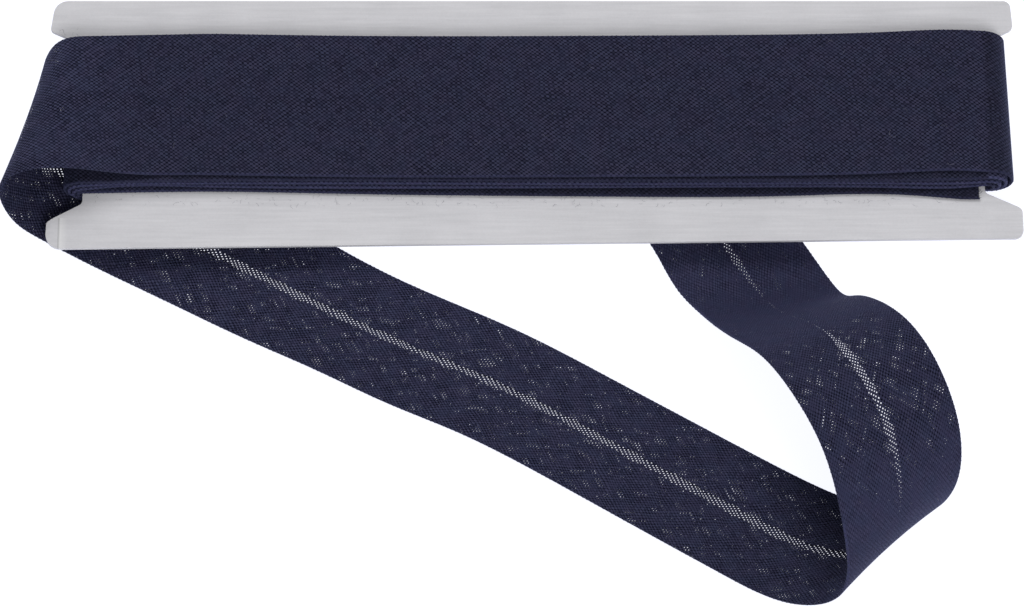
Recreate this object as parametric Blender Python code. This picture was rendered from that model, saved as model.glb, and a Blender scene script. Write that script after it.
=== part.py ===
"""Card of bias tape.

A flat cardboard card with a notch in each end carries folded bias tape, wound lengthwise round
its neck. The last turn has come loose at the left end: it swings round the end in an open loop,
runs out under the card, turns over in a tall bight and comes back under the card.

Frame: +X along the card, +Y towards its upper edge, +Z up. The card lies on its back.
"""
import math

import bmesh
import bpy
import numpy as np

MM = 0.001

# Heights, from the surface up, in millimetres
TAIL_THICKNESS = 1.0
GAP = 0.3
BACK_STACK = 2.2
CARD_THICKNESS = 0.6
FRONT_STACK = 2.7
STACK_BOTTOM = TAIL_THICKNESS + GAP
CARD_BOTTOM = STACK_BOTTOM + BACK_STACK + GAP
CARD_TOP = CARD_BOTTOM + CARD_THICKNESS
CARD_MIDDLE = (CARD_BOTTOM + CARD_TOP) / 2
TUNNEL_RADIUS = CARD_THICKNESS / 2 + GAP

# The card's outline in millimetres, anticlockwise: corner place and the radius of its round
NECK_LEFT = -57.8
NECK_RIGHT = 64.3
CARD_CORNERS = [
    # x, y, radius
    (-62.7, 7.5, 2.2),
    (69.3, 9.0, 1.2),
    (69.3, 13.3, 1.0),
    (NECK_RIGHT, 15.6, 0.8),
    (NECK_RIGHT, 37.3, 0.8),
    (69.0, 39.7, 1.0),
    (68.7, 43.9, 1.0),
    (-62.4, 43.9, 2.0),
    (-63.0, 39.4, 0.6),
    (NECK_LEFT, 37.0, 0.8),
    (NECK_LEFT, 14.0, 0.8),
    (-62.6, 11.4, 0.4),
]
CORNER_STEPS = 4
CREASE_X = -60.8
CREASE_TOP = 11.9
CREASE_MARGIN = 0.01
CREASE_DROP = 0.2

# The wound tape, in millimetres: lower edge of each layer at places round the card
TAPE_WIDTH = 20.7
FRONT_PLACES = (-54.4, -41.2, -22.9, 12.5, 37.9, 52.0, 61.0)
FRONT_EDGES = [
    # lower edge at each of the front places, the innermost layer first
    (15.4, 15.6, 15.3, 14.9, 15.0, 15.2, 14.5),
    (15.9, 16.0, 15.8, 15.9, 16.0, 15.9, 15.9),
    (16.0, 16.2, 16.2, 16.1, 16.2, 16.2, 16.2),
    (16.2, 16.4, 16.5, 16.4, 16.4, 16.4, 16.6),
    (17.1, 17.0, 16.8, 16.8, 17.0, 17.4, 17.7),
]
TURN_EDGES = [
    # left turn, right turn, back right, back left
    (15.3, 16.2, 15.2, 14.9),
    (15.3, 16.3, 16.1, 15.3),
    (15.7, 16.5, 15.7, 16.2),
    (16.0, 16.8, 16.6, 15.8),
    (16.4, 17.2, 16.3, 16.6),
]
BACK_PLACES = (50.0, -45.0)
CUT_END = 63.4
CUT_STEP = 0.3
EDGE_WAVE = 0.12
FEWEST_WAVES = 3
WAVE_SHIFT = 1.7
EDGE_ROUND = 0.16
RUN_PITCH = 7.5
LEAST_STEP = 2.0
EASE_LENGTH = 10.0
TURN_STEPS = 8
RIGHT_SLACK_LOWER = 1.0
RIGHT_SLACK_UPPER = 0.4
# Where the last turn leaves the stack, and the thickness of the stack along the front
LIFT_OFF = -46.2
STACK_STEP = 0.2
STACK_DIP = -51.0
STACK_ON_FRONT = [
    # x, thickness
    (NECK_LEFT, 2.2),
    (STACK_DIP, 1.6),
    (LIFT_OFF - STACK_STEP, 1.35),
    (LIFT_OFF, FRONT_STACK),
    (NECK_RIGHT, FRONT_STACK),
]
# Share of a layer's thickness at which its fold is flat, widest and flat again
FOLD_PROFILE = [
    # share of the thickness, tuck
    (0.08, EDGE_ROUND),
    (0.5, 0.0),
    (0.92, EDGE_ROUND),
]

# The loose end of the tape, in millimetres: where its two edges run.
# Upper means nearer the card's upper edge while the tape still lies on the front.
LOOSE_TAPE = [
    # upper edge x, y, z, lower edge x, y, z
    (-46.5, 37.7, 6.9, -46.5, 17.1, 6.9),
    (-50.8, 37.6, 7.1, -50.6, 17.0, 7.6),
    (-56.8, 37.2, 7.7, -56.5, 16.7, 10.0),
    (-61.2, 36.7, 7.2, -61.3, 16.3, 11.8),
    (-63.2, 35.2, 5.0, -65.4, 15.9, 11.3),
    (-63.5, 33.3, 2.6, -68.2, 15.2, 9.0),
    (-61.3, 31.4, 0.7, -68.6, 13.9, 5.5),
    (-58.0, 29.3, 0.5, -67.0, 12.0, 2.6),
    (-54.3, 27.2, 0.5, -63.9, 10.3, 1.0),
    (-47.4, 23.2, 0.5, -57.0, 6.7, 0.5),
    (-36.8, 17.1, 0.5, -46.3, 1.3, 0.5),
    (-26.3, 10.9, 0.5, -35.6, -4.1, 0.7),
    (-17.3, 5.7, 0.5, -26.0, -8.9, 1.8),
    (-8.3, 1.4, 0.5, -16.4, -14.1, 3.4),
    (0.9, -2.9, 0.8, -7.2, -18.5, 4.7),
    (14.0, -10.1, 1.0, 5.9, -25.7, 5.3),
    (27.0, -17.3, 0.6, 18.9, -33.1, 4.8),
    (36.0, -22.3, 0.5, 27.7, -38.0, 4.3),
    (44.9, -26.8, 1.0, 36.4, -42.4, 5.7),
    (53.4, -29.8, 4.4, 42.7, -43.0, 12.4),
    (58.0, -28.3, 12.6, 42.8, -37.8, 20.0),
    (57.8, -21.3, 19.2, 40.6, -28.7, 23.1),
    (54.3, -11.8, 19.6, 36.8, -19.7, 21.9),
    (50.4, -4.6, 14.1, 32.8, -12.1, 16.8),
    (46.7, 0.1, 6.0, 29.0, -6.6, 9.3),
    (45.6, 0.9, 3.6, 27.3, -3.6, 4.9),
    (44.5, 2.4, 1.5, 25.9, -1.2, 2.0),
    (42.0, 6.4, 0.5, 23.3, 2.1, 0.6),
    (36.0, 15.8, 0.5, 19.8, 8.3, 0.5),
    (30.2, 24.4, 0.5, 15.1, 15.5, 0.5),
    (24.4, 33.0, 0.5, 9.6, 23.1, 0.5),
]
ALONG_STEP = 2.6
ACROSS_STEPS = 6


def clear_scene():
    for old in list(bpy.data.objects):
        bpy.data.objects.remove(old, do_unlink=True)


def make_material(name, color, roughness):
    material = bpy.data.materials.new(name)
    material.use_nodes = True
    shader = material.node_tree.nodes["Principled BSDF"]
    shader.inputs["Base Color"].default_value = (*color, 1.0)
    shader.inputs["Roughness"].default_value = roughness
    shader.inputs["Metallic"].default_value = 0.0
    return material


def make_object(name, points, faces, material, smooth_angle):
    """A mesh object from points in millimetres, its faces turned outwards."""
    mesh = bpy.data.meshes.new(name)
    mesh.from_pydata([tuple(MM * value for value in point) for point in points], [], faces)
    shell = bmesh.new()
    shell.from_mesh(mesh)
    bmesh.ops.recalc_face_normals(shell, faces=shell.faces)
    shell.to_mesh(mesh)
    shell.free()
    mesh.materials.append(material)
    mesh.shade_smooth()
    mesh.set_sharp_from_angle(angle=math.radians(smooth_angle))
    made = bpy.data.objects.new(name, mesh)
    bpy.context.scene.collection.objects.link(made)
    return made


def round_corner(before, corner, after, radius, steps):
    """Points of an arc that rounds one corner of an outline."""
    to_before = (np.array(before) - corner) / np.linalg.norm(np.array(before) - corner)
    to_after = (np.array(after) - corner) / np.linalg.norm(np.array(after) - corner)
    half = math.acos(float(np.clip(to_before @ to_after, -1.0, 1.0))) / 2
    middle = (to_before + to_after) / np.linalg.norm(to_before + to_after)
    centre = np.array(corner) + middle * radius / math.sin(half)
    start = np.array(corner) + to_before * radius / math.tan(half) - centre
    end = np.array(corner) + to_after * radius / math.tan(half) - centre
    sweep = math.pi - 2 * half
    arc = []
    for step in range(steps + 1):
        part = sweep * step / steps
        spoke = (math.sin(sweep - part) * start + math.sin(part) * end) / math.sin(sweep)
        arc.append(tuple(centre + spoke))
    return arc


def card_outline():
    outline = []
    count = len(CARD_CORNERS)
    for index, (x, y, radius) in enumerate(CARD_CORNERS):
        before = CARD_CORNERS[index - 1][:2]
        after = CARD_CORNERS[(index + 1) % count][:2]
        outline += round_corner(before, (x, y), after, radius, CORNER_STEPS)
    return outline


def build_card(material):
    """The die-cut card, with its lower left corner bent down along a crease."""
    outline = card_outline()
    count = len(outline)
    points = [(x, y, CARD_BOTTOM) for x, y in outline] + [(x, y, CARD_TOP) for x, y in outline]
    faces = [tuple(reversed(range(count))), tuple(range(count, 2 * count))]
    for index in range(count):
        other = (index + 1) % count
        faces.append((index, other, other + count, index + count))
    card = make_object("card", points, faces, material, 30)
    shell = bmesh.new()
    shell.from_mesh(card.data)
    everything = shell.verts[:] + shell.edges[:] + shell.faces[:]
    for place, normal in (((CREASE_X, 0, 0), (1, 0, 0)), ((0, CREASE_TOP, 0), (0, 1, 0))):
        place = tuple(MM * value for value in place)
        bmesh.ops.bisect_plane(shell, geom=everything, plane_co=place, plane_no=normal, dist=1e-7)
        everything = shell.verts[:] + shell.edges[:] + shell.faces[:]
    for vert in shell.verts:
        beyond = CREASE_X - vert.co.x / MM
        if beyond > 0 and vert.co.y / MM < CREASE_TOP - CREASE_MARGIN:
            vert.co.z -= MM * CREASE_DROP * beyond
    bmesh.ops.triangulate(shell, faces=shell.faces)
    shell.to_mesh(card.data)
    shell.free()
    return card


def winding_stations():
    """Places round the neck: run, x, z, outward direction x and z, stack thickness, slack."""
    front = {NECK_LEFT, NECK_RIGHT, CUT_END, CUT_END + CUT_STEP}
    front |= {STACK_DIP, LIFT_OFF, LIFT_OFF - STACK_STEP}
    length = NECK_RIGHT - NECK_LEFT
    count = round(length / RUN_PITCH)
    for step in range(1, count):
        x = NECK_LEFT + length * step / count
        if min(abs(x - other) for other in front) > LEAST_STEP:
            front.add(x)
    stack_x = [row[0] for row in STACK_ON_FRONT]
    stack_thickness = [row[1] for row in STACK_ON_FRONT]
    turn = math.pi * TUNNEL_RADIUS
    stations = []
    for x in sorted(front):
        thickness = float(np.interp(x, stack_x, stack_thickness))
        stations.append((x - NECK_LEFT, x, CARD_MIDDLE + TUNNEL_RADIUS, 0.0, 1.0, thickness, 0.0))
    for step in range(1, TURN_STEPS):
        angle = math.pi * step / TURN_STEPS
        part = step / TURN_STEPS
        x = NECK_RIGHT + TUNNEL_RADIUS * math.sin(angle)
        z = CARD_MIDDLE + TUNNEL_RADIUS * math.cos(angle)
        thickness = FRONT_STACK + (BACK_STACK - FRONT_STACK) * part
        stations.append((length + turn * part, x, z, math.sin(angle), math.cos(angle), thickness,
                         math.sin(angle)))
    for step in range(count + 1):
        x = NECK_RIGHT - length * step / count
        run = length + turn + NECK_RIGHT - x
        stations.append((run, x, CARD_MIDDLE - TUNNEL_RADIUS, 0.0, -1.0, BACK_STACK, 0.0))
    for step in range(1, TURN_STEPS):
        angle = math.pi * step / TURN_STEPS
        part = step / TURN_STEPS
        x = NECK_LEFT - TUNNEL_RADIUS * math.sin(angle)
        z = CARD_MIDDLE - TUNNEL_RADIUS * math.cos(angle)
        run = 2 * length + turn + turn * part
        stations.append((run, x, z, -math.sin(angle), -math.cos(angle), BACK_STACK, 0.0))
    return stations


def lower_edge(layer, run):
    """Height on the card of one layer's lower fold, round the whole winding."""
    length = NECK_RIGHT - NECK_LEFT
    turn = math.pi * TUNNEL_RADIUS
    left, right, back_right, back_left = TURN_EDGES[layer]
    front = FRONT_EDGES[layer]
    places = [-turn / 2]
    places += [x - NECK_LEFT for x in FRONT_PLACES]
    places += [CUT_END - NECK_LEFT, CUT_END - NECK_LEFT + CUT_STEP, length + turn / 2]
    places += [length + turn + NECK_RIGHT - x for x in BACK_PLACES]
    places += [2 * length + 1.5 * turn]
    values = [left, *front, front[-1], right, right, back_right, back_left, left]
    whole = 2 * length + 2 * turn
    waves = FEWEST_WAVES + layer
    wave = EDGE_WAVE * math.sin(2 * math.pi * run * waves / whole + WAVE_SHIFT * layer)
    shifted = run if run <= places[-1] else run - whole
    flat = float(np.interp(shifted, places, values))
    near_turn = min(abs(shifted), abs(shifted - length), abs(shifted - length - turn))
    return flat + wave * min(1.0, near_turn / EASE_LENGTH)


def build_winding(material):
    """All the turns as one solid ring with a round fold along each edge of each layer."""
    layers = len(FRONT_EDGES)
    stations = winding_stations()
    points = []
    for run, x, z, out_x, out_z, thickness, slack in stations:
        lower_layer = (thickness + RIGHT_SLACK_LOWER * slack) / layers
        upper_layer = (thickness + RIGHT_SLACK_UPPER * slack) / layers
        lower = [lower_edge(layer, run) for layer in range(layers)]
        profile = []
        for layer in range(layers):
            for part, tuck in FOLD_PROFILE:
                profile.append(((layer + part) * lower_layer, lower[layer] + tuck))
        for layer in reversed(range(layers)):
            for part, tuck in reversed(FOLD_PROFILE):
                upper = lower[layer] + TAPE_WIDTH - tuck
                profile.append(((layer + part) * upper_layer, upper))
        profile[0] = (0.0, profile[0][1])
        profile[-1] = (0.0, profile[-1][1])
        for out, y in profile:
            points.append((x + out * out_x, y, z + out * out_z))
    size = 2 * len(FOLD_PROFILE) * layers
    faces = []
    for station in range(len(stations)):
        following = (station + 1) % len(stations)
        for index in range(size):
            other = (index + 1) % size
            faces.append((station * size + index, station * size + other,
                          following * size + other, following * size + index))
    return make_object("wound_tape", points, faces, material, 50)


def smooth_rows(rows, step):
    """The rows of a table joined by a natural cubic spline, read every step."""
    table = np.array(rows, dtype=float)
    middle = (table[:, :3] + table[:, 3:]) / 2
    place = np.concatenate([[0.0], np.cumsum(np.linalg.norm(np.diff(middle, axis=0), axis=1))])
    gap = np.diff(place)
    count = len(place)
    system = np.eye(count)
    right = np.zeros_like(table)
    for row in range(1, count - 1):
        system[row, row - 1] = gap[row - 1]
        system[row, row] = 2 * (gap[row - 1] + gap[row])
        system[row, row + 1] = gap[row]
        right[row] = 6 * ((table[row + 1] - table[row]) / gap[row]
                          - (table[row] - table[row - 1]) / gap[row - 1])
    curve = np.linalg.solve(system, right)
    sections = []
    for value in np.linspace(0.0, place[-1], round(place[-1] / step) + 1):
        row = min(int(np.searchsorted(place, value, side="right")) - 1, count - 2)
        after = (value - place[row]) / gap[row]
        before = 1 - after
        bend = (before ** 3 - before) * curve[row] + (after ** 3 - after) * curve[row + 1]
        sections.append(before * table[row] + after * table[row + 1] + bend * gap[row] ** 2 / 6)
    return np.array(sections)


def build_loose_tape(material):
    """The loose end as one sheet, half its thickness to each side of the table's edges."""
    sections = smooth_rows(LOOSE_TAPE, ALONG_STEP)
    half = TAIL_THICKNESS / 2
    sections[:, 2] = np.maximum(sections[:, 2], half)
    sections[:, 5] = np.maximum(sections[:, 5], half)
    across = np.linspace(0.0, 1.0, ACROSS_STEPS + 1)[None, :, None]
    middle = sections[:, None, :3] * (1 - across) + sections[:, None, 3:] * across
    along = np.gradient(middle, axis=0)
    sideways = (sections[:, 3:] - sections[:, :3])[:, None, :]
    normal = np.cross(sideways, along)
    normal /= np.linalg.norm(normal, axis=2)[:, :, None]
    outer = middle + half * normal
    inner = middle - half * normal
    outer[:, :, 2] = np.maximum(outer[:, :, 2], 0.0)
    inner[:, :, 2] = np.maximum(inner[:, :, 2], 0.0)
    rows, columns = middle.shape[:2]
    points = [tuple(point) for point in np.concatenate([outer.reshape(-1, 3), inner.reshape(-1, 3)])]
    under = rows * columns
    faces = []
    for row in range(rows - 1):
        for column in range(columns - 1):
            first = row * columns + column
            square = (first, first + 1, first + columns + 1, first + columns)
            faces.append(square)
            faces.append(tuple(under + index for index in reversed(square)))
        for column in (0, columns - 1):
            first = row * columns + column
            faces.append((first, first + columns, first + columns + under, first + under))
    for row in (0, rows - 1):
        for column in range(columns - 1):
            first = row * columns + column
            faces.append((first, first + 1, first + 1 + under, first + under))
    return make_object("loose_tape", points, faces, material, 60)


def main():
    clear_scene()
    cardboard = make_material("cardboard", (0.56, 0.57, 0.60), 0.85)
    navy_cloth = make_material("navy cotton", (0.017, 0.021, 0.062), 0.95)
    build_card(cardboard)
    build_winding(navy_cloth)
    build_loose_tape(navy_cloth)


main()
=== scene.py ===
"""Card of bias tape: the looks.

One long strip of folded cotton tape is wound round a notched card. Its last turn has come loose at
the left end, swings round the card in an open loop, runs out under it, turns over in a tall bight
and comes back under it. The tape is built as the real one is: one ply, its two sides folded in
until they nearly meet, with a see-through weave cut on the bias.

Lengths are in millimetres until a mesh is made. +X runs along the card, +Y towards its upper edge
and +Z up.
"""
import math

import bmesh
import bpy
import numpy as np
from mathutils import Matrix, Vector


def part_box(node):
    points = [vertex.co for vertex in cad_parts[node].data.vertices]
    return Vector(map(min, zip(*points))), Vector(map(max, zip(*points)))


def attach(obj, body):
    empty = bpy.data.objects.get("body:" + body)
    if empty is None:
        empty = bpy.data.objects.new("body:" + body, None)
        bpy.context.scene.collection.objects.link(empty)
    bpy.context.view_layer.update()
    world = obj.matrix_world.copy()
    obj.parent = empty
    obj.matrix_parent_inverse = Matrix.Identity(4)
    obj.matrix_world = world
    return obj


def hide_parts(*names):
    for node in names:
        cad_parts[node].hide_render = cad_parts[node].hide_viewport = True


MM = 0.001

# Heights of the card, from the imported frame
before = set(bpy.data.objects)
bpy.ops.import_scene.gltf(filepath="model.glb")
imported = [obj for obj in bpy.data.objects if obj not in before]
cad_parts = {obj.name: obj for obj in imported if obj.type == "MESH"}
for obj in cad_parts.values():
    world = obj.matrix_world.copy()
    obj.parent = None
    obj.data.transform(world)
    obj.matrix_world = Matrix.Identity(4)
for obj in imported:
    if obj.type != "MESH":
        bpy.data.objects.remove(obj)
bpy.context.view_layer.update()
CARD_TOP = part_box("card")[1][2] / MM
CARD_THICKNESS = 0.6
CARD_BOTTOM = CARD_TOP - CARD_THICKNESS
CARD_MIDDLE = CARD_TOP - CARD_THICKNESS / 2
STACK_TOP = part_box("wound_tape")[1][2] / MM
STACK_BOTTOM = 1.3

# The card's outline, anticlockwise: corner place and the radius of its round
NECK_LEFT = -57.8
NECK_RIGHT = 64.3
CARD_CORNERS = [
    # x, y, radius
    (-62.7, 7.5, 2.2),
    (69.3, 9.0, 1.2),
    (69.3, 13.3, 1.0),
    (NECK_RIGHT, 15.6, 0.8),
    (NECK_RIGHT, 37.3, 0.8),
    (69.0, 39.7, 1.0),
    (68.7, 43.9, 1.0),
    (-62.4, 43.9, 2.0),
    (-63.0, 39.4, 0.6),
    (NECK_LEFT, 37.0, 0.8),
    (NECK_LEFT, 14.0, 0.8),
    (-62.6, 11.4, 0.4),
]
CORNER_STEPS = 10
CARD_EDGE_ROUND = 0.07
CARD_EDGE_SEGMENTS = 3
CARD_EDGE_ANGLE = 60.0
CARD_SHARP_ANGLE = 35.0
# Where the card's faces are cut up: start, end and step along it, then places across it
CARD_CUTS_ALONG = (-60.0, 69.0, 4.0)
CARD_CUTS_ACROSS = (20.0, 28.0, 36.0, 41.0)
# The bent corner: its crease, how high it reaches and how far it drops for each millimetre
CREASE_X = -60.85
CREASE_TOP = 11.9
CREASE_DROP = 0.2
CREASE_CUTS = (-0.5, -0.25, 0.0, 0.25)

# The folded tape. SEAM_GAP lies between its raw edges, and PLY_APART between its two plies.
TAPE_WIDTH = 20.7
PLY_APART = 0.36
SEAM_GAP = 0.75
SEAM_LEAST = 0.08
FLAT_WIDTH = 2 * TAPE_WIDTH - SEAM_GAP
FLAP_STEPS = 7
FACE_STEPS = 14
FOLD_STEPS = 6

# How the winding lies: lower edge of each layer at places round the card
FRONT_LAYERS = 5
BACK_LAYERS = 4
FRONT_PLACES = (-54.4, -41.2, -22.9, 12.5, 37.9, 52.0, 61.0)
FRONT_EDGES = [
    # lower edge at each of the front places, the innermost layer first
    (15.4, 15.6, 15.3, 14.9, 15.0, 15.2, 14.5),
    (15.9, 16.0, 15.8, 15.9, 16.0, 15.9, 15.9),
    (16.0, 16.2, 16.2, 16.1, 16.2, 16.2, 16.2),
    (16.2, 16.4, 16.5, 16.4, 16.4, 16.4, 16.6),
    (17.1, 17.0, 16.8, 16.8, 17.0, 17.4, 17.7),
]
TURN_EDGES = [
    # left turn, right turn, back right, back left
    (15.3, 16.2, 15.2, 14.9),
    (15.3, 16.3, 16.1, 15.3),
    (15.7, 16.5, 15.7, 16.2),
    (16.0, 16.8, 16.6, 15.8),
    (16.4, 17.2, 16.3, 16.6),
]
BACK_LEFT = -45.0
BACK_RIGHT = 50.0
CUT_END = 63.4
LAYER_CLEARANCE = 0.04
# Share of a layer's room that its cloth takes, and the rows over which the loose end thickens
LAYER_FILL = 0.78
THICKNESS_EASE = 3.0
LIFT_EASE = 6.0
# How far the turns at the right end bulge at their lower and upper edges
RIGHT_SLACK_LOWER = 1.0
RIGHT_SLACK_UPPER = 0.4
STRAIGHT_STEP = 1.2
TURN_STEPS = 14
LOOSE_STEP = 0.7
# The loose piece starts this far before the winding's end
SPLIT_BACK = 120.0
FLOOR_CLEARANCE = 0.02
LEAST_HEIGHT = 0.01

# The loose end: where its two edges run.
# Upper means nearer the card's upper edge while the tape still lies on the front.
LOOSE_TAPE = [
    # upper edge x, y, z, lower edge x, y, z
    (-46.5, 37.7, 7.05, -46.5, 17.1, 7.05),
    (-50.8, 37.6, 7.1, -50.6, 17.0, 7.6),
    (-56.8, 37.2, 7.7, -56.5, 16.7, 10.0),
    (-61.2, 36.7, 7.2, -61.3, 16.3, 11.8),
    (-63.2, 35.2, 5.0, -65.4, 15.9, 11.3),
    (-63.5, 33.3, 2.6, -68.2, 15.2, 9.0),
    (-61.3, 31.4, 0.7, -68.6, 13.9, 5.5),
    (-58.0, 29.3, 0.5, -67.0, 12.0, 2.6),
    (-54.3, 27.2, 0.5, -63.9, 10.3, 1.0),
    (-47.4, 23.2, 0.5, -57.0, 6.7, 0.5),
    (-36.8, 17.1, 0.5, -46.3, 1.3, 0.5),
    (-26.3, 10.9, 0.5, -35.6, -4.1, 0.7),
    (-17.3, 5.7, 0.5, -26.0, -8.9, 1.8),
    (-8.3, 1.4, 0.5, -16.4, -14.1, 3.4),
    (0.9, -2.9, 0.8, -7.2, -18.5, 4.7),
    (14.0, -10.1, 1.0, 5.9, -25.7, 5.3),
    (27.0, -17.3, 0.6, 18.9, -33.1, 4.8),
    (36.0, -22.3, 0.5, 27.7, -38.0, 4.3),
    (44.9, -26.8, 1.0, 36.4, -42.4, 5.7),
    (53.4, -29.8, 4.4, 42.7, -43.0, 12.4),
    (58.0, -28.3, 12.6, 42.8, -37.8, 20.0),
    (57.8, -21.3, 19.2, 40.6, -28.7, 23.1),
    (54.3, -11.8, 19.6, 36.8, -19.7, 21.9),
    (50.4, -4.6, 14.1, 32.8, -12.1, 16.8),
    (46.7, 0.1, 6.0, 29.0, -6.6, 9.3),
    (45.6, 0.9, 3.6, 27.3, -3.6, 4.9),
    (44.5, 2.4, 1.5, 25.9, -1.2, 2.0),
    (42.0, 6.4, 0.5, 23.3, 2.1, 0.6),
    (36.0, 15.8, 0.5, 19.8, 8.3, 0.5),
    (30.2, 24.4, 0.5, 15.1, 15.5, 0.5),
    (24.4, 33.0, 0.5, 9.6, 23.1, 0.5),
]

# The loose end by row of LOOSE_TAPE: gap between the raw edges, then the weave's closeness,
# softness, which also brings a painted sheen, and tone. Tone is painted light and shade: how much
# lighter or darker the cloth's colour is painted, fitted to each stretch in the photo.
LOOSE_STATE = [
    # row, gap, closeness, softness and painted sheen, tone as painted light and shade
    (0, 0.6, 1.0, 0.0, 0.82),
    (1, 0.6, 1.0, 0.0, 0.84),
    (3, 0.8, 0.3, 0.0, 1.08),
    (4, 0.9, -0.3, 0.0, 1.08),
    (5, 1.0, -0.35, 0.1, 1.0),
    (6, 1.1, -0.2, 0.2, 0.98),
    (7, 1.1, -0.2, 0.2, 1.0),
    (9, 1.15, -0.2, 0.3, 1.06),
    (13, 0.95, -0.2, 0.35, 1.08),
    (15, 1.1, -0.15, 0.35, 1.05),
    (17, 1.3, -0.1, 0.35, 0.95),
    (18.5, 1.0, 0.2, 0.3, 0.88),
    (19.2, 0.1, 1.0, 0.6, 0.95),
    (20.1, 0.1, 1.0, 0.8, 1.16),
    (20.6, 0.7, 0.4, 0.7, 1.14),
    (21.2, 1.05, -0.3, 0.6, 1.02),
    (22.4, 1.05, -0.4, 0.6, 1.02),
    (22.9, 0.6, 0.1, 0.7, 1.06),
    (23.2, 0.1, 0.9, 0.8, 1.14),
    (26.3, 0.1, 1.0, 0.9, 1.14),
    (27.0, 0.8, 0.6, 0.6, 1.14),
    (28, 1.1, 0.15, 0.5, 1.14),
    (30, 1.0, 0.15, 0.5, 1.14),
]
# Rows of the tape's state, one value for each place along it
GAP, CLOSENESS, SOFTNESS_WITH_SHEEN, PAINTED_SHADING, THICKNESS = range(5)
WOUND_STATE = (SEAM_GAP, 1.0, 0.0, 1.0)
# Painted light and shade of each wound layer, the innermost first: darker for painted shade,
# lighter for painted light. The innermost fades from its own painted shade at the left, between
# the two places along the card, to the table's.
LAYER_LIGHT_AND_SHADE = (0.50, 1.15, 1.20, 0.60, 0.82)
FIRST_LAYER_FADE = (-45.0, 0.0)
FIRST_LAYER_LEFT = 0.90
# The painted highlight along the crest of each pressed fold: lightness, softness, place past the
# fold and half width
CREST_HIGHLIGHT = 0.65
CREST_SOFT = 0.6
CREST_PAST = 0.38
CREST_WIDTH = 0.34
CREST_CLOSENESS = (0.8, 1.0)
# The gap between the raw edges wavers by this share, over these lengths
SEAM_UNEVEN = 0.16
SEAM_WAVES = (3.1, 7.3)

# The weave, in millimetres on the flat cloth: yarn angle, pitches, widths and unevenness
YARN_ANGLE = 38.2
WARP_PITCH = 0.455
WEFT_PITCH = 0.376
YARN_WIDTH = 0.735
YARN_CLOSED = 0.19
YARN_UNEVEN = 0.06
YARN_SPREAD = 1.8
YARN_SPREAD_ACROSS = 0.16
YARN_SPREAD_ALONG = 0.035
SLUB_ALONG = 0.10
SLUB_STEP = 0.71
SLUB_RANGE = (0.25, 0.75)
SLUB_TONE_RANGE = (0.3, 0.7)
WARP_SEED = 1.0
WEFT_SEED = 9.0
SLUB_SEED = 5.0
# A yarn's height: its middle level, how far it weaves up and down and how round it is
YARN_LEVEL = 0.42
YARN_WAVE = 0.28
YARN_DOME = 0.30
YARN_SIDE = 0.86
YARN_RELIEF = 0.11
# Heights between which the colour runs from painted shade in the gaps to a painted highlight on the
# crowns
GAP_HEIGHT = 0.62
TOP_HEIGHT = 0.94
SECOND_RAISED = 0.03
# Light and dark: painted shade in the pinholes at the crossings' corners, and tones by crossing
# and by yarn
PINHOLE_SIDE = (0.30, 0.62)
CROSSING_TONE = 0.36
WARP_TONE = 0.88
WEFT_TONE = 1.12
YARN_TONE = 0.32
SOFT_SHARE = 0.7
# Patches, scales per metre: lightness, wear, hue and openness
PATCH_SCALE = 120.0
PATCH_RANGE = (0.3, 0.7)
PATCH_TONE = 0.07
WORN_SCALE = 520.0
WORN_RANGE = (0.45, 0.70)
WORN_SHARE = 0.45
HUE_SCALE = 420.0
HUE_RANGE = (0.40, 0.60)
COOL_TINT = (0.965, 1.01, 1.005, 1.0)
WARM_TINT = (1.045, 0.985, 0.99, 1.0)
OPEN_SCALE = 380.0
OPEN_RANGE = (0.40, 0.56)
MOST_CLOSED = 1.2
# Distances from the middle of the face over which the weave may close up
SEAM_OPEN = (0.9, 1.9)
# Colours of the weave, from its painted shade in the gaps to its painted highlight on the crowns
NAVY_DARK = (0.0006, 0.0008, 0.0090, 1.0)
NAVY_LIGHT = (0.0465, 0.0485, 0.0960, 1.0)
# Flat colour of the softened weave, bluer and lighter than its mean for a painted sheen
NAVY_SOFT_AND_SHEEN = (0.0235, 0.0247, 0.0575, 1.0)
WEAVE_BUMP = 0.8
CLOTH_ROUGHNESS = 0.85
CLOTH_SPECULAR = 0.12
FUZZ_TINT = (0.42, 0.48, 1.0, 1.0)
FUZZ_WEIGHT = 0.12
FUZZ_ROUGHNESS = 0.5

# The card's surface, scales per metre
GRAIN_STRETCH = 0.05
GRAIN_SCALE = 2600.0
MOTTLE_SCALE = 160.0
FIBRE_SCALE = 4200.0
GRAIN_DEPTH = 0.03
GRAIN_BUMP = 0.5
GRAIN_SHARE = 0.5
MOTTLE_SHARE = 0.3
FIBRE_SHARE = 0.2
SHADE_RANGE = (0.35, 0.65)
CARD_ROUGHNESS = 0.85
CARD_SPECULAR = 0.3
CARD_DARK = (0.585, 0.582, 0.610, 1.0)
CARD_LIGHT = (0.680, 0.675, 0.705, 1.0)
# The crease's painted shade line and the painted highlight on the facet beside it: colours,
# widths and strengths
CARD_FACET_HIGHLIGHT = (0.86, 0.86, 0.86, 1.0)
CARD_CREASE_SHADE = (0.36, 0.36, 0.37, 1.0)
CREASE_WIDTH = 0.22
CREASE_FACET = 1.2
CREASE_STRENGTH = 0.6
FACET_STRENGTH = 0.5

# Yarn crowns along the folds
CROWN_PITCH = 0.62
CROWN_LENGTH = 0.25
CROWN_THICKNESS = 0.185
CROWN_INSET = 0.11
CROWN_UNEVEN = 0.2
CROWN_SEED = 3
THREAD_COLOUR = (0.034, 0.037, 0.068)
THREAD_SCALE = 900.0
THREAD_UNEVEN = 0.4

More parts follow.
